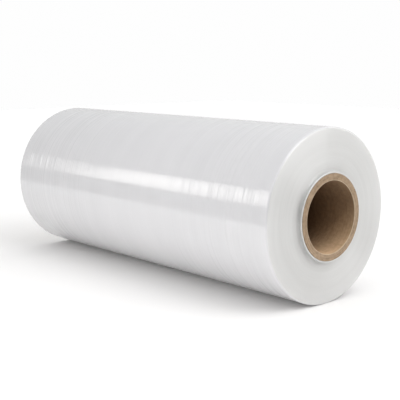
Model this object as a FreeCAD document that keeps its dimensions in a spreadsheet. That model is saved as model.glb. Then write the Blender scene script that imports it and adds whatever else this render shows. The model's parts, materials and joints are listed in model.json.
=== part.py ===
import FreeCAD, Part
import Sketcher
import math
import os

# A roll of stretch wrap lying on its side, in millimetres: a paper core, and the film wound tight around it.
# The roll's axis runs along X, Z is up, and the origin is under the middle of the roll, on what it lies on.

# Driving sizes. Each goes into the sheet under its own name.
SIZES = {
    "film_width": 450.0,  # width of the film, from one end face of the winding to the other
    "winding_diameter": 185.0,  # across the last turn
    "core_bore": 76.2,  # inside diameter of the core, the usual three inch mandrel size
    "core_wall": 7.4,  # thickness of the wound paper
    "core_overhang": 4.5,  # how far the core stands out of each end face of the film
    "core_edge_bevel": 0.5,  # softened edges of the cut paper
    "collar_thickness": 1.8,  # the first turns, which cover the core almost out to its cut ends
    "collar_setback": 0.3,  # from the core's cut end back to the edge of those first turns
    "collar_bevel": 0.6,  # softened lip of the first turns
    "rim_round": 2.5,  # rounded shoulder between an end face and the side of the winding
    "flat_width": 18.0,  # the soft winding settles on a flat of this width
    "turn_spacing": 9.0,  # average distance between the turns that stand out on an end face
    "turn_unevenness": 0.22,  # how far those turns stray from even spacing, as a share of it
    "turn_line_width": 1.1,  # width of the shallow line beside each of them
    "turn_line_depth": 0.28,  # depth of that line
}

# How the turns stray from even spacing: the phase step from one to the next, in radians.
STRAY_STEP = 2.4

# Where the first of those turns lies, in turn spacings out from the collar.
FIRST_TURN = 0.8

# Room left between the last of them and the rounded rim, in turn spacings.
LAST_TURN_ROOM = 0.5

# Extra reach of a cutting outline past what it cuts, so that no skin is left.
CUT_REACH = 10.0

# How far an edge may lie from where it is looked for.
MATCH = 1e-4

# The property that holds the size of each kind of softened edge.
SIZE_PROPERTY = {"Fillet": "Radius", "Chamfer": "Size"}

# A sketch's names for its own origin and for the two ends of a line.
SKETCH_ORIGIN = (-1, 1)
LINE_START = 1
LINE_END = 2

CORE_RADIUS = "(sizes.core_bore / 2 + sizes.core_wall)"
COLLAR_RADIUS = f"({CORE_RADIUS} + sizes.collar_thickness)"
WINDING_RADIUS = "(sizes.winding_diameter / 2)"
FILM_END = "(sizes.film_width / 2)"
CORE_END = f"({FILM_END} + sizes.core_overhang)"
COLLAR_END = f"({CORE_END} - sizes.collar_setback)"
AXIS_HEIGHT = f"sqrt({WINDING_RADIUS}^2 - (sizes.flat_width / 2)^2)"


def make_sheet(doc):
    """The driving sizes, one to a row: name, value, and the value's alias."""
    sheet = doc.addObject("Spreadsheet::Sheet", "sizes")
    for row, (name, value) in enumerate(SIZES.items(), start=1):
        sheet.set(f"A{row}", name)
        sheet.set(f"B{row}", str(value))
        sheet.setAlias(f"B{row}", name)
    doc.recompute()
    return sheet


def make_body(doc, label):
    """An empty body whose own X axis is the roll's axis, held at the height where the roll rests."""
    body = doc.addObject("PartDesign::Body", label)
    body.Label = label
    body.setExpression("Placement.Base.z", AXIS_HEIGHT)
    return body


def origin_plane(body, role):
    """One of the body's own origin planes."""
    for feature in body.Origin.OriginFeatures:
        if feature.Role == role:
            return feature
    raise ValueError(f"{body.Label} has no plane {role}")


def make_sketch(body, name, role):
    """A sketch on one of the body's own origin planes."""
    sketch = body.newObject("Sketcher::SketchObject", name)
    sketch.AttachmentSupport = (origin_plane(body, role), "")
    sketch.MapMode = "FlatFace"
    return sketch


def add_outline(sketch, corners):
    """A closed outline of straight lines. Each corner is a pair of expressions, for the sketch's X and Y."""
    count = len(corners)
    values = [tuple(sketch.evalExpression(text) for text in corner) for corner in corners]
    points = [FreeCAD.Vector(float(x), float(y), 0) for x, y in values]
    first = sketch.GeometryCount
    for i in range(count):
        sketch.addGeometry(Part.LineSegment(points[i], points[(i + 1) % count]), False)
    for i in range(count):
        joined = first + (i + 1) % count
        sketch.addConstraint(Sketcher.Constraint("Coincident", first + i, LINE_END, joined, LINE_START))
    for i, corner in enumerate(corners):
        for kind, text, value in zip(("DistanceX", "DistanceY"), corner, values[i]):
            place = Sketcher.Constraint(kind, *SKETCH_ORIGIN, first + i, LINE_START, float(value))
            sketch.setExpression(f"Constraints[{sketch.addConstraint(place)}]", text)


def revolve(body, sketch, kind, name):
    """Turns a sketch about the roll's axis: a Revolution adds, and a Groove cuts."""
    turned = body.newObject(f"PartDesign::{kind}", name)
    turned.Profile = (sketch, [""])
    turned.ReferenceAxis = (sketch, ["H_Axis"])
    turned.Angle = 360
    sketch.Visibility = False
    return turned


def soften_edges(body, base, kind, name, size_text, wanted):
    """A Fillet or Chamfer of the circular edges of base at the wanted (distance along X, radius) pairs."""
    body.Document.recompute()
    edges = []
    for number, edge in enumerate(base.Shape.Edges, start=1):
        if not isinstance(edge.Curve, Part.Circle):
            continue
        place = (edge.Curve.Center.x, edge.Curve.Radius)
        if any(math.dist(place, target) < MATCH for target in wanted):
            edges.append(f"Edge{number}")
    if len(edges) != len(wanted):
        raise ValueError(f"{name}: {len(wanted)} edges wanted, {len(edges)} found")
    softened = body.newObject(f"PartDesign::{kind}", name)
    softened.Base = (base, edges)
    softened.setExpression(SIZE_PROPERTY[kind], size_text)
    return softened


def both_ends(body, along, radius):
    """The (distance along X, radius) of an edge and of its twin at the other end of the roll."""
    distance = float(body.evalExpression(along))
    return [(side * distance, float(body.evalExpression(radius))) for side in (-1, 1)]


def make_core(doc):
    """The paper core: a plain thick-walled tube with softened cut edges."""
    body = make_body(doc, "cardboard_core")
    bore = "(sizes.core_bore / 2)"
    section = make_sketch(body, "core_section", "XY_Plane")
    add_outline(
        section,
        [(f"-{CORE_END}", bore), (CORE_END, bore), (CORE_END, CORE_RADIUS), (f"-{CORE_END}", CORE_RADIUS)],
    )
    tube = revolve(body, section, "Revolution", "core_tube")
    edges = both_ends(body, CORE_END, bore) + both_ends(body, CORE_END, CORE_RADIUS)
    soften_edges(body, tube, "Chamfer", "core_edges", "sizes.core_edge_bevel", edges)
    return body


def winding_section():
    """Corners of the film's section above the axis: the side, both end faces, and the collar on the core."""
    right = [
        (COLLAR_END, CORE_RADIUS),
        (COLLAR_END, COLLAR_RADIUS),
        (FILM_END, COLLAR_RADIUS),
        (FILM_END, WINDING_RADIUS),
    ]
    left = [(f"-{x}", radius) for x, radius in reversed(right)]
    return right + left


def turn_radii(body):
    """Expressions for the radii of the turns that stand out on an end face, from the collar to the rim."""
    spacing = body.evalExpression("sizes.turn_spacing")
    inner = body.evalExpression(COLLAR_RADIUS)
    outer = body.evalExpression(f"{WINDING_RADIUS} - sizes.rim_round")
    count = max(int((outer - inner) / spacing - LAST_TURN_ROOM), 1)
    radii = []
    for turn in range(count):
        stray = f"{math.sin(STRAY_STEP * turn):.4f} * sizes.turn_unevenness"
        radii.append(f"({COLLAR_RADIUS} + ({turn + FIRST_TURN} + {stray}) * sizes.turn_spacing)")
    return radii


def make_winding(doc):
    """The wound film, all its turns as one piece, with the flat that it rests on."""
    body = make_body(doc, "film_winding")
    section = make_sketch(body, "winding_section", "XY_Plane")
    add_outline(section, winding_section())
    wound = revolve(body, section, "Revolution", "wound_film")
    rims = both_ends(body, FILM_END, WINDING_RADIUS)
    shoulders = soften_edges(body, wound, "Fillet", "rims", "sizes.rim_round", rims)
    lips = both_ends(body, COLLAR_END, COLLAR_RADIUS)
    lipped = soften_edges(body, shoulders, "Chamfer", "collar_lips", "sizes.collar_bevel", lips)

    lines = make_sketch(body, "turn_lines", "XY_Plane")
    for radius in turn_radii(body):
        half = "sizes.turn_line_width / 2"
        add_outline(
            lines,
            [
                (f"{FILM_END} - sizes.turn_line_depth", radius),
                (FILM_END, f"{radius} + {half}"),
                (FILM_END, f"{radius} - {half}"),
            ],
        )
    before = volume_of(doc, lipped)
    end_lines = revolve(body, lines, "Groove", "end_face_lines")
    must_cut(before, volume_of(doc, end_lines), "end_face_lines")
    other_end = body.newObject("PartDesign::Mirrored", "other_end_lines")
    other_end.Originals = [end_lines]
    other_end.MirrorPlane = (origin_plane(body, "YZ_Plane"), [""])
    body.Tip = other_end
    must_cut(volume_of(doc, end_lines), volume_of(doc, other_end), "other_end_lines")

    floor = make_sketch(body, "resting_flat", "XZ_Plane")
    past_end = f"({FILM_END} + {CUT_REACH})"
    under = f"-({WINDING_RADIUS} + {CUT_REACH})"
    flat = f"-{AXIS_HEIGHT}"
    left_end = f"-{past_end}"
    add_outline(floor, [(left_end, under), (past_end, under), (past_end, flat), (left_end, flat)])
    settled = body.newObject("PartDesign::Pocket", "settled_flat")
    settled.Profile = (floor, [""])
    settled.Midplane = True
    settled.setExpression("Length", "sizes.winding_diameter")
    must_cut(volume_of(doc, other_end), volume_of(doc, settled), "settled_flat")
    return body


def volume_of(doc, feature):
    """The volume of a feature's solid once everything is up to date."""
    doc.recompute()
    return feature.Shape.Volume


def must_cut(before, after, name):
    """Stops if a cut took nothing away."""
    if not 0 < after < before:
        raise ValueError(f"{name} cut nothing: {before:.1f} before, {after:.1f} after")


def check(doc, bodies):
    """Stops on any feature that failed and on any piece that isn't one valid closed solid."""
    for item in doc.Objects:
        if "Invalid" in item.State or "Error" in item.State:
            raise ValueError(f"{item.Label} failed: {item.State}")
    for body in bodies:
        shape = body.Shape
        if shape.isNull() or not shape.isValid() or len(shape.Solids) != 1:
            raise ValueError(f"{body.Label} is not one valid solid")
        box = shape.optimalBoundingBox(True, False)
        size = f"{box.XLength:.2f} x {box.YLength:.2f} x {box.ZLength:.2f} mm"
        print(f"{body.Label}: {size}, {shape.Volume / 1000:.1f} cm3, lowest point {box.ZMin:.4f}")


def write(bodies):
    """One file for each piece, named after it."""
    os.makedirs("parts", exist_ok=True)
    for body in bodies:
        body.Shape.exportStep(os.path.join("parts", f"{body.Label}.step"))


def main():
    doc = FreeCAD.newDocument("stretch_wrap_roll")
    make_sheet(doc)
    bodies = [make_core(doc), make_winding(doc)]
    doc.recompute()
    check(doc, bodies)
    write(bodies)


main()
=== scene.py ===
import bpy
import json
import math
from mathutils import Matrix, Vector


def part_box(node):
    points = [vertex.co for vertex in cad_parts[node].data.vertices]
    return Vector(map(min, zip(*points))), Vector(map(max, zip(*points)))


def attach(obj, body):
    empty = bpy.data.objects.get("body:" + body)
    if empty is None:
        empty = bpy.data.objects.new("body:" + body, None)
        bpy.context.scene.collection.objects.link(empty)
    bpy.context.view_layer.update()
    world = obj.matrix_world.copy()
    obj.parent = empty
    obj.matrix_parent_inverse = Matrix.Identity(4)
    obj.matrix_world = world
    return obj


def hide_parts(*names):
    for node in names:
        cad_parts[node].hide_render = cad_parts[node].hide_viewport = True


# A roll of stretch wrap lying on its side: film wound on a paper core, in metres.
# The roll's axis runs along X at AXIS_HEIGHT, and the roll rests on the floor at z = 0.

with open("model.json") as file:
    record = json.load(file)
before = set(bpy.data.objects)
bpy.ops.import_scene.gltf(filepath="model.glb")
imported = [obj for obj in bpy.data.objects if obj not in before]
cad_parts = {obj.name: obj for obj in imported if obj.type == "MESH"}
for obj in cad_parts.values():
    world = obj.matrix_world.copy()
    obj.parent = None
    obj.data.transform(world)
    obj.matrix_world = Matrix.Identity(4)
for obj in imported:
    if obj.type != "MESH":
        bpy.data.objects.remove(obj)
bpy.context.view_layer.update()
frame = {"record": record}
core_low, core_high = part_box("cardboard_core")
film_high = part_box("film_winding")[1]
bore = next(mount for mount in frame["record"]["mounts"] if mount["name"] == "core_bore")

AXIS_HEIGHT = (core_low.z + core_high.z) / 2
BORE_RADIUS = bore["dims"]["r_mm"] / 1000
CORE_RADIUS = core_high.y
CORE_END = core_high.x
WINDING_RADIUS = film_high.y
COLLAR_END = film_high.x

# The film's shape
FILM_END = 0.225  # from the middle of the roll to an end face of the film
COLLAR_THICKNESS = 0.0018  # the first turns, which cover the core nearly to its cut ends
COLLAR_LIP = 0.0006  # rounded lip of the collar
COLLAR_ROOT = 0.0028  # radius of the hollow where the collar meets the end face
RIM_ROUND = 0.0025  # rounded shoulder between an end face and the side
SEAT_GAP = 0.00008  # between the core and the film round it, so that no two walls coincide
FILM_SEGMENTS = 256
SIDE_STEPS = 168
FACE_STEPS = 50
COLLAR_STEPS = 3
LIP_STEPS = 2
ARC_STEPS = 7

# The core's shape
EDGE_ROUND = 0.0005  # worn edges of the cut paper
CORE_SEGMENTS = 192
SLEEVE_STEPS = 4
CUT_STEPS = 26
BORE_STEPS = 56

# Shallow relief round each piece: its depth, lines to a metre across, changes to a radian round, and a seed
FILM_RELIEF = {"relief_depth": 0.00016, "relief_across": 130.0, "relief_round": 0.8, "seed": 2.0}
CORE_RELIEF = {"relief_depth": 0.0001, "relief_across": 900.0, "relief_round": 2.0, "seed": 5.0}
END_RELIEF_LOSS = 0.3  # share of the relief that an end face goes without
END_FINISH_REACH = 0.0006  # how far the end face's finish comes round the rim
MERGE_DISTANCE = 1e-6  # joins the last turned copy of a section to the first
LEAST_RADIUS = 1e-4  # keeps points on the axis from dividing by nought

# Lines in the finishes: lines to a metre across, changes to a radian round, detail, and a seed
FINE_LINES = (800.0, 1.2, 3.0, 0.0)
MIDDLING_LINES = (400.0, 0.5, 0.5, 3.7)
BROAD_BANDS = (45.0, 0.9, 1.0, 8.1)
GLINT_LINES = (330.0, 0.6, 1.0, 5.2)
END_RINGS = (260.0, 0.8, 2.0, 3.7)
PLY_LINES = (1500.0, 2.0, 2.0, 1.3)
NOISE_MIDDLE = 0.5
NOISE_SPAN = (0.3, 0.7)  # most values of the lines lie between these

# The film's side
MILK_DIM = (0.605, 0.602, 0.615, 1.0)
MILK_LIT = (0.655, 0.651, 0.662, 1.0)
SIDE_ROUGHNESS = (0.07, 0.16)
SIDE_COAT = 0.5
GLINT_SPAN = (0.4, 0.6)
GLINT_DEPTH = 0.12  # how far the coat's weight swings either way
FINE_HEIGHT = 0.00001
MIDDLING_HEIGHT = 0.00065
LOOSE_WITHIN = 0.05  # the film was drawn loosely this near the middle of the roll
TIGHT_BEYOND = 0.13  # and tightly beyond this distance from it
LOOSE_SHARE = 0.25  # share of the lines' strength that the loose film keeps

# The film's end faces
EDGES_DIM = (0.51, 0.507, 0.497, 1.0)
EDGES_LIT = (0.60, 0.597, 0.585, 1.0)
# painted glow of light through the film's edges, strongest at the rim
EDGES_PAINTED_RIM_GLOW = (0.595, 0.592, 0.583, 1.0)
# painted shade round the collar, with some of the paper's tint showing through the film
EDGES_CORE_SHADE_AND_TINT = (0.43, 0.424, 0.41, 1.0)
RIM_LIGHT_FROM = 0.78 * WINDING_RADIUS
CORE_SHADE_TO = CORE_RADIUS + 0.013
CORE_SHADE_SHARE = 0.4
OFF_FACE = (FILM_END + 0.0004, FILM_END + 0.0015)  # along X, the painted shade near the core fades out here
RING_HEIGHT = 0.00014

# Light spread inside the film
SPREAD_SHARE = 0.5
SPREAD_DEPTH = 0.010

# The paper core
CUT_DIM = (0.215, 0.147, 0.087, 1.0)
CUT_LIT = (0.385, 0.276, 0.181, 1.0)
# painted shade deep in the bore
DEEP_PAINTED_SHADE_DIM = (0.13, 0.076, 0.038, 1.0)
DEEP_PAINTED_SHADE_LIT = (0.20, 0.12, 0.062, 1.0)
# painted light falling low into the bore's mouths
MOUTH_PAINTED_LIGHT_DIM = (0.58, 0.39, 0.23, 1.0)
MOUTH_PAINTED_LIGHT_LIT = (0.78, 0.54, 0.33, 1.0)
SEAM_COLOUR = (0.10, 0.06, 0.035, 1.0)
# painted highlight along the bore's cut edges
EDGE_HIGHLIGHT_COLOUR = (0.62, 0.50, 0.37, 1.0)
BORE_SKIN = 0.0001  # paper within this of the bore's wall has the bore's full colour
MOTTLE_SCALE = 260.0
MOTTLE_DETAIL = 4.0
TONE_SPAN = (0.35, 0.65)
MOUTH_REACH = (0.060, 0.005)  # the painted light at the mouth comes in between these depths from the cut end
LOW_IN_BORE = -0.95 * BORE_RADIUS
HIGH_IN_BORE = 0.3 * BORE_RADIUS
HIGH_SHARE = 0.2  # share of the painted light that is left high in the bore
SEAM_PITCH = 0.17
SEAM_WIDTH = 0.008  # as a share of the pitch
SEAM_STRENGTH = 0.15
EDGE_HIGHLIGHT_REACH = (0.0003, 0.0010)  # the painted highlight fades out between these distances from the edge
EDGE_HIGHLIGHT_STRENGTH = 0.6
PAPER_ROUGHNESS = (0.92, 0.78)
FIBRE_HEIGHT = 0.0001

# The floor and the surroundings
FLOOR_REACH = 3.0
FLOOR_FRONT = -0.49
# painted shade on the floor round the roll
FLOOR_NEAR_PAINTED_SHADE = (0.895, 0.886, 0.878, 1.0)
FLOOR_FAR = (0.99, 0.99, 0.985, 1.0)
FLOOR_CHANGE = (0.3, 0.8)  # distances between which the painted shade near the roll fades to the far colour
FLOOR_ROUGHNESS = 0.9
SKY_EVEN = 0.63  # brightness at the horizon
SKY_UPWARD = 0.69  # added straight up
SKY_RIGHTWARD = 0.7  # added towards the right, the more the higher up
SKY_BACKWARD = 0.18  # added behind the roll, and taken away in front
SKY_LEAST = 0.1
VIEWER_SHADE = 0.67  # how much darker the surroundings are round the viewer
VIEWER_SPAN = (0.55, 0.95)  # cosines from the viewer's direction, where the shade starts and is full
SKY_LOW = (1.0, 0.995, 0.99, 1.0)
SKY_HIGH = (0.985, 0.992, 1.0, 1.0)
BACKDROP = 0.99
WHITE = (1.0, 1.0, 1.0)
WARM_WHITE = (1.0, 0.985, 0.955)

# The view: where the camera stands from the middle of the near end face, and how long its lens is
CAMERA_AZIMUTH = math.radians(47.453)
CAMERA_ELEVATION = math.radians(9.421)
CAMERA_DISTANCE = 0.8775
CAMERA_ASIDE = -0.13151
CAMERA_RAISE = 0.01730
CAMERA_NEAREST = 0.01
SENSOR_WIDTH = 36.0
LENS = 77.03


def feed(tree, node, inputs):
    """Puts a value or a link on each input of a node that is named."""
    for key, value in inputs.items():
        if isinstance(value, bpy.types.NodeSocket):
            tree.links.new(value, node.inputs[key])
        else:
            node.inputs[key].default_value = value


def add(tree, kind, inputs=None, **settings):
    """A node of a tree, with its settings and inputs."""
    made = tree.nodes.new(kind)
    for name, value in settings.items():
        setattr(made, name, value)
    feed(tree, made, inputs or {})
    return made


def calc(tree, operation, *values):
    """The result of a Math node."""
    return add(tree, "ShaderNodeMath", dict(enumerate(values)), operation=operation).outputs[0]


def spread(tree, value, low, high, to_low, to_high, kind="LINEAR"):
    """A value taken from one range to another, and held at its ends."""
    inputs = {"Value": value, "From Min": low, "From Max": high, "To Min": to_low, "To Max": to_high}
    return add(tree, "ShaderNodeMapRange", inputs, interpolation_type=kind).outputs[0]


def blend(tree, factor, first, second):
    """A mix of two colours, which are a Mix node's inputs 6 and 7 and its output 2."""
    return add(tree, "ShaderNodeMix", {0: factor, 6: first, 7: second}, data_type="RGBA").outputs[2]


def parts_of(tree, vector):
    """The X, Y and Z of a vector."""
    return add(tree, "ShaderNodeSeparateXYZ", {0: vector}).outputs


def axis_distance(tree, place):
    """How far a point lies from the roll's axis, from its X, Y and Z."""
    y_squared = calc(tree, "MULTIPLY", place["Y"], place["Y"])
    return calc(tree, "SQRT", calc(tree, "MULTIPLY_ADD", place["Z"], place["Z"], y_squared))


def swing(tree, lines, height):
    """A height that swings about nought with the lines."""
    return calc(tree, "MULTIPLY", calc(tree, "SUBTRACT", lines, NOISE_MIDDLE), height)


def socket(tree, name, direction, kind, value=None):
    """A named input or output of a node group."""
    made = tree.interface.new_socket(name=name, in_out=direction, socket_type=kind)
    if value is not None:
        made.default_value = value


def show(name, data):
    """A new object in the scene."""
    made = bpy.data.objects.new(name, data)
    bpy.context.scene.collection.objects.link(made)
    return made


def winding_lines(name, kind):
    """A node group: lines round the roll's axis, fine across and slow to change along their length."""
    tree = bpy.data.node_groups.new(name, kind)
    socket(tree, "Position", "INPUT", "NodeSocketVector")
    socket(tree, "Across", "INPUT", "NodeSocketFloat", 300.0)
    socket(tree, "Round", "INPUT", "NodeSocketFloat", 1.0)
    socket(tree, "Detail", "INPUT", "NodeSocketFloat", 2.0)
    socket(tree, "Seed", "INPUT", "NodeSocketFloat", 0.0)
    socket(tree, "Lines", "OUTPUT", "NodeSocketFloat")
    given = add(tree, "NodeGroupInput").outputs
    place = parts_of(tree, given["Position"])
    radius = axis_distance(tree, place)
    turn = calc(tree, "DIVIDE", given["Round"], calc(tree, "MAXIMUM", radius, LEAST_RADIUS))
    point = add(
        tree,
        "ShaderNodeCombineXYZ",
        {
            "X": calc(tree, "MULTIPLY", place["X"], given["Across"]),
            "Y": calc(tree, "MULTIPLY", radius, given["Across"]),
            "Z": calc(tree, "MULTIPLY", place["Y"], turn),
        },
    )
    depth = calc(tree, "MULTIPLY_ADD", place["Z"], turn, given["Seed"])
    noise = add(
        tree,
        "ShaderNodeTexNoise",
        {"Vector": point.outputs[0], "W": depth, "Scale": 1.0, "Detail": given["Detail"], "Roughness": 0.6},
        noise_dimensions="4D",
    )
    add(tree, "NodeGroupOutput", {"Lines": noise.outputs[0]})
    return tree


def turned_section(lines):
    """A geometry tree: a section turned round the roll's axis, with its turns' relief, set on the floor."""
    tree = bpy.data.node_groups.new("turned_section", "GeometryNodeTree")
    tree.is_modifier = True
    socket(tree, "Section", "INPUT", "NodeSocketGeometry")
    socket(tree, "Segments", "INPUT", "NodeSocketInt", 64)
    socket(tree, "Axis Height", "INPUT", "NodeSocketFloat", 0.1)
    socket(tree, "Relief Depth", "INPUT", "NodeSocketFloat", 0.0001)
    socket(tree, "Relief Across", "INPUT", "NodeSocketFloat", 100.0)
    socket(tree, "Relief Round", "INPUT", "NodeSocketFloat", 1.0)
    socket(tree, "Seed", "INPUT", "NodeSocketFloat", 0.0)
    socket(tree, "Finish", "INPUT", "NodeSocketMaterial")
    socket(tree, "End Finish", "INPUT", "NodeSocketMaterial")
    socket(tree, "End From", "INPUT", "NodeSocketFloat", 0.2)
    socket(tree, "Solid", "OUTPUT", "NodeSocketGeometry")
    given = add(tree, "NodeGroupInput").outputs
    position = add(tree, "GeometryNodeInputPosition").outputs[0]

    # A grid with a column of points for each turned copy of the section
    count = add(tree, "GeometryNodeAttributeDomainSize", {0: given["Section"]}).outputs["Point Count"]
    columns = calc(tree, "ADD", given["Segments"], 1)
    grid = add(tree, "GeometryNodeMeshGrid", {"Vertices X": columns, "Vertices Y": count}).outputs["Mesh"]
    index = add(tree, "GeometryNodeInputIndex").outputs[0]
    half_past = calc(tree, "ADD", index, 0.5)
    column = calc(tree, "FLOOR", calc(tree, "DIVIDE", half_past, count))
    row = calc(tree, "SUBTRACT", index, calc(tree, "MULTIPLY", column, count))
    corner = add(
        tree,
        "GeometryNodeSampleIndex",
        {"Geometry": given["Section"], "Value": position, "Index": row},
        data_type="FLOAT_VECTOR",
    )
    place = parts_of(tree, corner.outputs[0])
    angle = calc(tree, "MULTIPLY", calc(tree, "DIVIDE", column, given["Segments"]), math.tau)
    turned = add(
        tree,
        "ShaderNodeCombineXYZ",
        {
            "X": place["X"],
            "Y": calc(tree, "MULTIPLY", place["Z"], calc(tree, "COSINE", angle)),
            "Z": calc(tree, "MULTIPLY", place["Z"], calc(tree, "SINE", angle)),
        },
    )
    whole = add(tree, "GeometryNodeSetPosition", {"Geometry": grid, "Position": turned.outputs[0]})
    closing = {"Geometry": whole.outputs[0], "Distance": MERGE_DISTANCE}
    closed = add(tree, "GeometryNodeMergeByDistance", closing)

    # Relief, cut into the surface
    relief = add(
        tree,
        "GeometryNodeGroup",
        {
            "Position": position,
            "Across": given["Relief Across"],
            "Round": given["Relief Round"],
            "Seed": given["Seed"],
        },
        node_tree=lines,
    )
    normal = add(tree, "GeometryNodeInputNormal").outputs[0]
    endways = calc(tree, "ABSOLUTE", parts_of(tree, normal)["X"])
    share = calc(tree, "MULTIPLY_ADD", endways, -END_RELIEF_LOSS, 1.0)
    depth = calc(tree, "MULTIPLY", given["Relief Depth"], share)
    inward = calc(tree, "MULTIPLY", calc(tree, "MULTIPLY", relief.outputs[0], depth), -1.0)
    offset = add(tree, "ShaderNodeVectorMath", {0: normal, "Scale": inward}, operation="SCALE")
    cutting = {"Geometry": closed.outputs[0], "Offset": offset.outputs[0]}
    relieved = add(tree, "GeometryNodeSetPosition", cutting)

    # Up to the axis height, and no point below the floor
    lift = add(tree, "ShaderNodeCombineXYZ", {"Z": given["Axis Height"]})
    lifting = {"Geometry": relieved.outputs[0], "Offset": lift.outputs[0]}
    raised = add(tree, "GeometryNodeSetPosition", lifting)
    here = parts_of(tree, position)
    above_floor = {"X": here["X"], "Y": here["Y"], "Z": calc(tree, "MAXIMUM", here["Z"], 0.0)}
    on_floor = add(tree, "ShaderNodeCombineXYZ", above_floor)
    settling = {"Geometry": raised.outputs[0], "Position": on_floor.outputs[0]}
    settled = add(tree, "GeometryNodeSetPosition", settling)

    smooth = add(tree, "GeometryNodeSetShadeSmooth", {"Geometry": settled.outputs[0]})
    real = add(tree, "GeometryNodeRealizeInstances", {"Geometry": smooth.outputs[0]})
    finishing = {"Geometry": real.outputs[0], "Material": given["Finish"]}
    dressed = add(tree, "GeometryNodeSetMaterial", finishing)
    at_end = calc(tree, "GREATER_THAN", calc(tree, "ABSOLUTE", here["X"]), given["End From"])
    end_finishing = {"Geometry": dressed.outputs[0], "Selection": at_end, "Material": given["End Finish"]}
    ended = add(tree, "GeometryNodeSetMaterial", end_finishing)
    add(tree, "NodeGroupOutput", {"Solid": ended.outputs[0]})
    return tree


def straight(start, end, steps):
    """Points from start up to but not including end, evenly spaced."""
    return [tuple(a + (b - a) * i / steps for a, b in zip(start, end)) for i in range(steps)]


def arc(centre, radius, start, end):
    """Points of an arc from one angle, in degrees, up to but not including another."""
    angles = [math.radians(start + (end - start) * i / ARC_STEPS) for i in range(ARC_STEPS)]
    return [(centre[0] + radius * math.cos(a), centre[1] + radius * math.sin(a)) for a in angles]


def both_halves(right):
    """A closed section from its right half: the half, its mirror image, and its first point again."""
    left = [(-x, radius) for x, radius in reversed(right)]
    return right + left + right[:1]


def film_section():
    """(x, radius) points of the wound film: side, rim, end face, collar and the seat on the core."""
    seat = CORE_RADIUS + SEAT_GAP
    collar = CORE_RADIUS + COLLAR_THICKNESS
    rim_centre = (FILM_END - RIM_ROUND, WINDING_RADIUS - RIM_ROUND)
    root_centre = (FILM_END + COLLAR_ROOT, collar + COLLAR_ROOT)
    lip_centre = (COLLAR_END - COLLAR_LIP, collar - COLLAR_LIP)
    right = straight((0.0, WINDING_RADIUS), (rim_centre[0], WINDING_RADIUS), SIDE_STEPS // 2)
    right += arc(rim_centre, RIM_ROUND, 90, 0)
    right += straight((FILM_END, rim_centre[1]), (FILM_END, root_centre[1]), FACE_STEPS)
    right += arc(root_centre, COLLAR_ROOT, 180, 270)
    right += straight((root_centre[0], collar), (lip_centre[0], collar), COLLAR_STEPS)
    right += arc(lip_centre, COLLAR_LIP, 90, 0)
    right += straight((COLLAR_END, lip_centre[1]), (COLLAR_END, seat), LIP_STEPS)
    right += [(COLLAR_END, seat), (FILM_END / 2, seat)]
    return both_halves(right[1:])


def core_section():
    """(x, radius) points of the paper core: outside, cut end and bore."""
    outer_centre = (CORE_END - EDGE_ROUND, CORE_RADIUS - EDGE_ROUND)
    inner_centre = (CORE_END - EDGE_ROUND, BORE_RADIUS + EDGE_ROUND)
    right = straight((FILM_END / 2, CORE_RADIUS), (outer_centre[0], CORE_RADIUS), SLEEVE_STEPS)
    right += arc(outer_centre, EDGE_ROUND, 90, 0)
    right += straight((CORE_END, outer_centre[1]), (CORE_END, inner_centre[1]), CUT_STEPS)
    right += arc(inner_centre, EDGE_ROUND, 0, -90)
    right += straight((inner_centre[0], BORE_RADIUS), (0.0, BORE_RADIUS), BORE_STEPS // 2)
    return both_halves(right)


def turn_piece(name, tree, section, finish, end_finish, **sizes):
    """A plain mesh made by turning a section, with the tree's named inputs set to the given sizes."""
    outline = bpy.data.meshes.new(f"{name}_section")
    edges = [(i, i + 1) for i in range(len(section) - 1)]
    outline.from_pydata([(x, 0.0, radius) for x, radius in section], edges, [])
    maker = show(f"{name}_maker", outline)
    modifier = maker.modifiers.new("turned_section", "NODES")
    modifier.node_group = tree
    values = {"Axis Height": AXIS_HEIGHT, "Finish": finish, "End Finish": end_finish}
    values.update({key.replace("_", " ").title(): value for key, value in sizes.items()})
    inputs = {item.name: item.identifier for item in tree.interface.items_tree if item.in_out == "INPUT"}
    for key, value in values.items():
        modifier[inputs[key]] = value
    graph = bpy.context.evaluated_depsgraph_get()
    mesh = bpy.data.meshes.new_from_object(maker.evaluated_get(graph), depsgraph=graph)
    bpy.data.objects.remove(maker)
    mesh.name = name
    return show(name, mesh)


def new_material(name):
    """An empty material with its shader, and the position of a point from the middle of the roll's axis."""
    material = bpy.data.materials.new(name)
    material.use_nodes = True
    tree = material.node_tree
    tree.nodes.clear()
    shader = add(tree, "ShaderNodeBsdfPrincipled")
    add(tree, "ShaderNodeOutputMaterial", {"Surface": shader.outputs[0]})
    coordinates = add(tree, "ShaderNodeTexCoord").outputs["Object"]
    centred = add(tree, "ShaderNodeMapping", {"Vector": coordinates, "Location": (0.0, 0.0, -AXIS_HEIGHT)})
    return material, tree, shader, centred.outputs[0]


def lines_of(tree, group, position, values):
    """The lines that a winding_lines group gives with these values."""
    inputs = dict(zip(("Across", "Round", "Detail", "Seed"), values))
    inputs["Position"] = position
    return add(tree, "ShaderNodeGroup", inputs, node_tree=group).outputs[0]


def bump(tree, height):
    """The surface's direction where it is raised by a height in metres."""
    return add(tree, "ShaderNodeBump", {"Height": height, "Distance": 1.0, "Strength": 1.0}).outputs[0]


def make_cloudy(tree, shader, position):
    """Lets light spread inside the film, and draws its gloss out across the lines of the winding."""
    around = add(tree, "ShaderNodeVectorMath", {0: (1.0, 0.0, 0.0), 1: position}, operation="CROSS_PRODUCT")
    facing = add(tree, "ShaderNodeNewGeometry").outputs["Normal"]
    across = add(tree, "ShaderNodeVectorMath", {0: around.outputs[0], 1: facing}, operation="CROSS_PRODUCT")
    inputs = {
        "Tangent": across.outputs[0],
        "Subsurface Weight": SPREAD_SHARE,
        "Subsurface Radius": (1.0, 1.0, 1.0),
        "Subsurface Scale": SPREAD_DEPTH,
    }
    feed(tree, shader, inputs)


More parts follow.
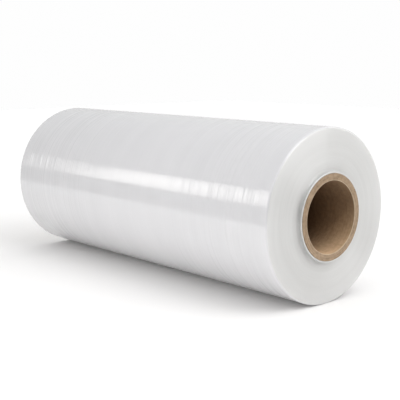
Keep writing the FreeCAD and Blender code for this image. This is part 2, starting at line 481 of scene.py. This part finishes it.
def film_side(lines):
    """Clear film, many turns deep: milky and glossy, with fine lines round it where it was drawn tight."""
    material, tree, shader, position = new_material("film_side")
    fine = lines_of(tree, lines, position, FINE_LINES)
    middling = lines_of(tree, lines, position, MIDDLING_LINES)
    broad = lines_of(tree, lines, position, BROAD_BANDS)
    glints = lines_of(tree, lines, position, GLINT_LINES)
    along = calc(tree, "ABSOLUTE", parts_of(tree, position)["X"])
    tightness = spread(tree, along, LOOSE_WITHIN, TIGHT_BEYOND, LOOSE_SHARE, 1.0)
    glint = spread(tree, glints, *GLINT_SPAN, -GLINT_DEPTH, GLINT_DEPTH)
    height = calc(tree, "ADD", swing(tree, fine, FINE_HEIGHT), swing(tree, middling, MIDDLING_HEIGHT))
    inputs = {
        "Base Color": blend(tree, broad, MILK_DIM, MILK_LIT),
        "Roughness": spread(tree, fine, *NOISE_SPAN, *SIDE_ROUGHNESS),
        "Coat Weight": calc(tree, "MULTIPLY_ADD", glint, tightness, SIDE_COAT),
        "Normal": bump(tree, calc(tree, "MULTIPLY", height, tightness)),
        "Anisotropic": 0.3,
        "Coat Roughness": 0.06,
        "IOR": 1.9,
    }
    feed(tree, shader, inputs)
    make_cloudy(tree, shader, position)
    return material


def film_edges(lines):
    """The film's turn edges: satin with fine rings, painted shade and paper tint by the core, a painted rim
    glow.
    """
    material, tree, shader, position = new_material("film_edges")
    rings = lines_of(tree, lines, position, END_RINGS)
    place = parts_of(tree, position)
    radius = axis_distance(tree, place)
    # painted glow: the colour lightens from RIM_LIGHT_FROM out to the rim
    painted_rim_glow = spread(tree, radius, RIM_LIGHT_FROM, WINDING_RADIUS, 0.0, 1.0)
    lit = blend(tree, painted_rim_glow, blend(tree, rings, EDGES_DIM, EDGES_LIT), EDGES_PAINTED_RIM_GLOW)
    # painted shade near the core, partly the paper's own tint seen through the film
    near_core = spread(tree, radius, CORE_RADIUS + COLLAR_THICKNESS, CORE_SHADE_TO, CORE_SHADE_SHARE, 0.0)
    on_face = spread(tree, calc(tree, "ABSOLUTE", place["X"]), *OFF_FACE, 1.0, 0.0)
    shade = calc(tree, "MULTIPLY", near_core, on_face)
    inputs = {
        "Base Color": blend(tree, shade, lit, EDGES_CORE_SHADE_AND_TINT),
        "Normal": bump(tree, calc(tree, "MULTIPLY", rings, RING_HEIGHT)),
        "Anisotropic": 1.0,
        "Roughness": 0.31,
        "Specular IOR Level": 1.0,
        "IOR": 1.7,
    }
    feed(tree, shader, inputs)
    make_cloudy(tree, shader, position)
    return material


def kraft_paper(lines):
    """Brown paper: plies, a seamed bore, painted light low in its mouths, painted shade deep in, painted
    edge highlights.
    """
    material, tree, shader, position = new_material("kraft_paper")
    place = parts_of(tree, position)
    along = calc(tree, "ABSOLUTE", place["X"])
    radius = axis_distance(tree, place)
    in_bore = spread(tree, radius, BORE_RADIUS + BORE_SKIN, BORE_RADIUS + EDGE_ROUND, 1.0, 0.0)

    plies = lines_of(tree, lines, position, PLY_LINES)
    mottling = {"Vector": position, "Scale": MOTTLE_SCALE, "Detail": MOTTLE_DETAIL}
    mottle = add(tree, "ShaderNodeTexNoise", mottling).outputs[0]
    middle = calc(tree, "MULTIPLY", calc(tree, "ADD", mottle, plies), 0.5)
    tone = spread(tree, middle, *TONE_SPAN, 0.0, 1.0)

    # painted light low in each mouth, and painted shade deeper in and high in the bore
    deepest, shallowest = MOUTH_REACH
    near_mouth = spread(tree, along, CORE_END - deepest, CORE_END - shallowest, 0.0, 1.0)
    low = spread(tree, place["Z"], LOW_IN_BORE, HIGH_IN_BORE, 1.0, HIGH_SHARE)
    deep = blend(tree, tone, DEEP_PAINTED_SHADE_DIM, DEEP_PAINTED_SHADE_LIT)
    painted_mouth_light = blend(tree, tone, MOUTH_PAINTED_LIGHT_DIM, MOUTH_PAINTED_LIGHT_LIT)
    inside = blend(tree, calc(tree, "MULTIPLY", near_mouth, low), deep, painted_mouth_light)

    turns = calc(tree, "DIVIDE", calc(tree, "ARCTAN2", place["Y"], place["Z"]), math.tau)
    seam_place = calc(tree, "FRACT", calc(tree, "MULTIPLY_ADD", place["X"], 1 / SEAM_PITCH, turns))
    from_seam = calc(tree, "ABSOLUTE", calc(tree, "SUBTRACT", seam_place, 0.5))
    seam = spread(tree, from_seam, 0.0, SEAM_WIDTH, SEAM_STRENGTH, 0.0)
    seamed = blend(tree, calc(tree, "MULTIPLY", seam, in_bore), inside, SEAM_COLOUR)
    colour = blend(tree, in_bore, blend(tree, tone, CUT_DIM, CUT_LIT), seamed)

    # painted highlight along the bore's edges at the cut ends
    highlight_least, highlight_most = EDGE_HIGHLIGHT_REACH
    highlight_radius = spread(tree, radius, BORE_RADIUS + highlight_least, BORE_RADIUS + highlight_most, 1.0, 0.0)
    highlight_end = spread(tree, along, CORE_END - highlight_most, CORE_END - highlight_least, 0.0, 1.0)
    painted_edge_highlight = calc(tree, "MULTIPLY", calc(tree, "MULTIPLY", highlight_radius, highlight_end), EDGE_HIGHLIGHT_STRENGTH)
    inputs = {
        "Base Color": blend(tree, painted_edge_highlight, colour, EDGE_HIGHLIGHT_COLOUR),
        "Roughness": spread(tree, tone, 0.0, 1.0, *PAPER_ROUGHNESS),
        "Normal": bump(tree, calc(tree, "MULTIPLY", tone, FIBRE_HEIGHT)),
    }
    feed(tree, shader, inputs)
    return material


def white_floor():
    """White paper with painted shade near the roll, whose front edge shows as a reflection in the roll's
    side.
    """
    front = [(x, FLOOR_FRONT, 0.0) for x in (-FLOOR_REACH, FLOOR_REACH)]
    back = [(x, FLOOR_REACH, 0.0) for x in (FLOOR_REACH, -FLOOR_REACH)]
    mesh = bpy.data.meshes.new("floor")
    mesh.from_pydata(front + back, [], [(0, 1, 2, 3)])
    floor = show("floor", mesh)
    material = bpy.data.materials.new("white_paper")
    material.use_nodes = True
    tree = material.node_tree
    coordinates = add(tree, "ShaderNodeTexCoord").outputs["Object"]
    distance = add(tree, "ShaderNodeVectorMath", {0: coordinates}, operation="LENGTH").outputs["Value"]
    away = spread(tree, distance, *FLOOR_CHANGE, 0.0, 1.0, "SMOOTHSTEP")
    inputs = {
        "Base Color": blend(tree, away, FLOOR_NEAR_PAINTED_SHADE, FLOOR_FAR),
        "Roughness": FLOOR_ROUGHNESS,
        "Specular IOR Level": 0.0,
    }
    feed(tree, tree.nodes["Principled BSDF"], inputs)
    mesh.materials.append(material)


def softbox(name, place, target, size, power, colour=WHITE, mirrored=True):
    """A rectangular soft light, turned to a target. One that isn't mirrored is left out of reflections."""
    light = bpy.data.lights.new(name, "AREA")
    light.shape = "RECTANGLE"
    light.size, light.size_y = size
    light.energy = power
    light.color = colour
    lamp = show(name, light)
    lamp.location = place
    lamp.rotation_mode = "QUATERNION"
    lamp.rotation_quaternion = (Vector(target) - Vector(place)).to_track_quat("-Z", "Y")
    lamp.visible_camera = False
    lamp.visible_glossy = mirrored


def surroundings():
    """A white world: brighter above, to the right and behind, darker round the viewer, and plain in view."""
    world = bpy.data.worlds.new("studio")
    world.use_nodes = True
    bpy.context.scene.world = world
    tree = world.node_tree
    tree.nodes.clear()
    direction = add(tree, "ShaderNodeTexCoord").outputs["Generated"]
    toward = parts_of(tree, direction)
    rise = calc(tree, "MAXIMUM", toward["Z"], 0.0)
    even = calc(tree, "MULTIPLY_ADD", rise, SKY_UPWARD, SKY_EVEN)
    righted = calc(tree, "MULTIPLY_ADD", calc(tree, "MULTIPLY", toward["X"], rise), SKY_RIGHTWARD, even)
    backed = calc(tree, "MULTIPLY_ADD", toward["Y"], SKY_BACKWARD, righted)
    viewer = (math.sin(CAMERA_AZIMUTH), -math.cos(CAMERA_AZIMUTH), math.tan(CAMERA_ELEVATION))
    facing = add(tree, "ShaderNodeVectorMath", {0: direction, 1: viewer}, operation="DOT_PRODUCT")
    shade = spread(tree, facing.outputs["Value"], *VIEWER_SPAN, 0.0, VIEWER_SHADE, "SMOOTHSTEP")
    level = calc(tree, "MAXIMUM", calc(tree, "SUBTRACT", backed, shade), SKY_LEAST)
    tint = blend(tree, rise, SKY_LOW, SKY_HIGH)
    sky = add(tree, "ShaderNodeBackground", {"Color": tint, "Strength": level})
    backdrop = add(tree, "ShaderNodeBackground", {"Color": (*WHITE, 1.0), "Strength": BACKDROP})
    seen = add(tree, "ShaderNodeLightPath").outputs["Is Camera Ray"]
    mixed = add(tree, "ShaderNodeMixShader", {0: seen, 1: sky.outputs[0], 2: backdrop.outputs[0]})
    add(tree, "ShaderNodeOutputWorld", {"Surface": mixed.outputs[0]})


def lights():
    """Two lights that make the long streak on the side, and one each in front, to the right and above."""
    softbox(
        "streak_light",
        place=(-2.73, -2.40, 1.10),
        target=(-2.73, 0.0, 1.10),
        size=(1.66, 1.00),
        power=7.4,
        colour=WARM_WHITE,
    )
    softbox(
        "heart_light",
        place=(-2.67, -2.40, 1.09),
        target=(-2.67, 0.0, 1.09),
        size=(1.42, 0.56),
        power=9.5,
        colour=WARM_WHITE,
    )
    softbox(
        "front_light",
        place=(0.10, -0.80, 0.16),
        target=(0.10, 0.0, 0.09),
        size=(0.24, 0.26),
        power=2.1,
        mirrored=False,
    )
    softbox("right_light", place=(1.29, 0.69, 0.385), target=(0.225, 0.0, 0.1), size=(0.8, 0.3), power=2.2)
    softbox("top_light", place=(0.85, 0.05, 1.0), target=(0.15, 0.0, 0.1), size=(0.6, 0.6), power=2.6)


def camera():
    """The photograph's view, from a camera set off from the middle of the near end face."""
    across = Vector((math.cos(CAMERA_AZIMUTH), math.sin(CAMERA_AZIMUTH), 0.0))
    back = Vector((0.0, 0.0, math.sin(CAMERA_ELEVATION)))
    back += Vector((across.y, -across.x, 0.0)) * math.cos(CAMERA_ELEVATION)
    up = back.cross(across)
    near = Vector((FILM_END, 0.0, AXIS_HEIGHT))
    place = near + back * CAMERA_DISTANCE + across * CAMERA_ASIDE + up * CAMERA_RAISE
    data = bpy.data.cameras.new("camera")
    data.sensor_width = SENSOR_WIDTH
    data.lens = LENS
    data.clip_start = CAMERA_NEAREST
    made = show("camera", data)
    made.matrix_world = Matrix.Translation(place) @ Matrix((across, up, back)).transposed().to_4x4()
    bpy.context.scene.camera = made


shader_lines = winding_lines("shader_lines", "ShaderNodeTree")
section_tree = turned_section(winding_lines("relief_lines", "GeometryNodeTree"))
film = turn_piece(
    "wound_film",
    section_tree,
    film_section(),
    film_side(shader_lines),
    film_edges(shader_lines),
    end_from=FILM_END - END_FINISH_REACH,
    segments=FILM_SEGMENTS,
    **FILM_RELIEF,
)
kraft = kraft_paper(shader_lines)
core = turn_piece(
    "paper_core",
    section_tree,
    core_section(),
    kraft,
    kraft,
    segments=CORE_SEGMENTS,
    **CORE_RELIEF,
)
for piece, node, slot in ((film, "film_winding", "stretch_film"), (core, "cardboard_core", "kraft_core")):
    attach(piece, "root")
    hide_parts(node)

white_floor()
surroundings()
lights()
camera()
scene = bpy.context.scene
scene.view_settings.view_transform = "Standard"
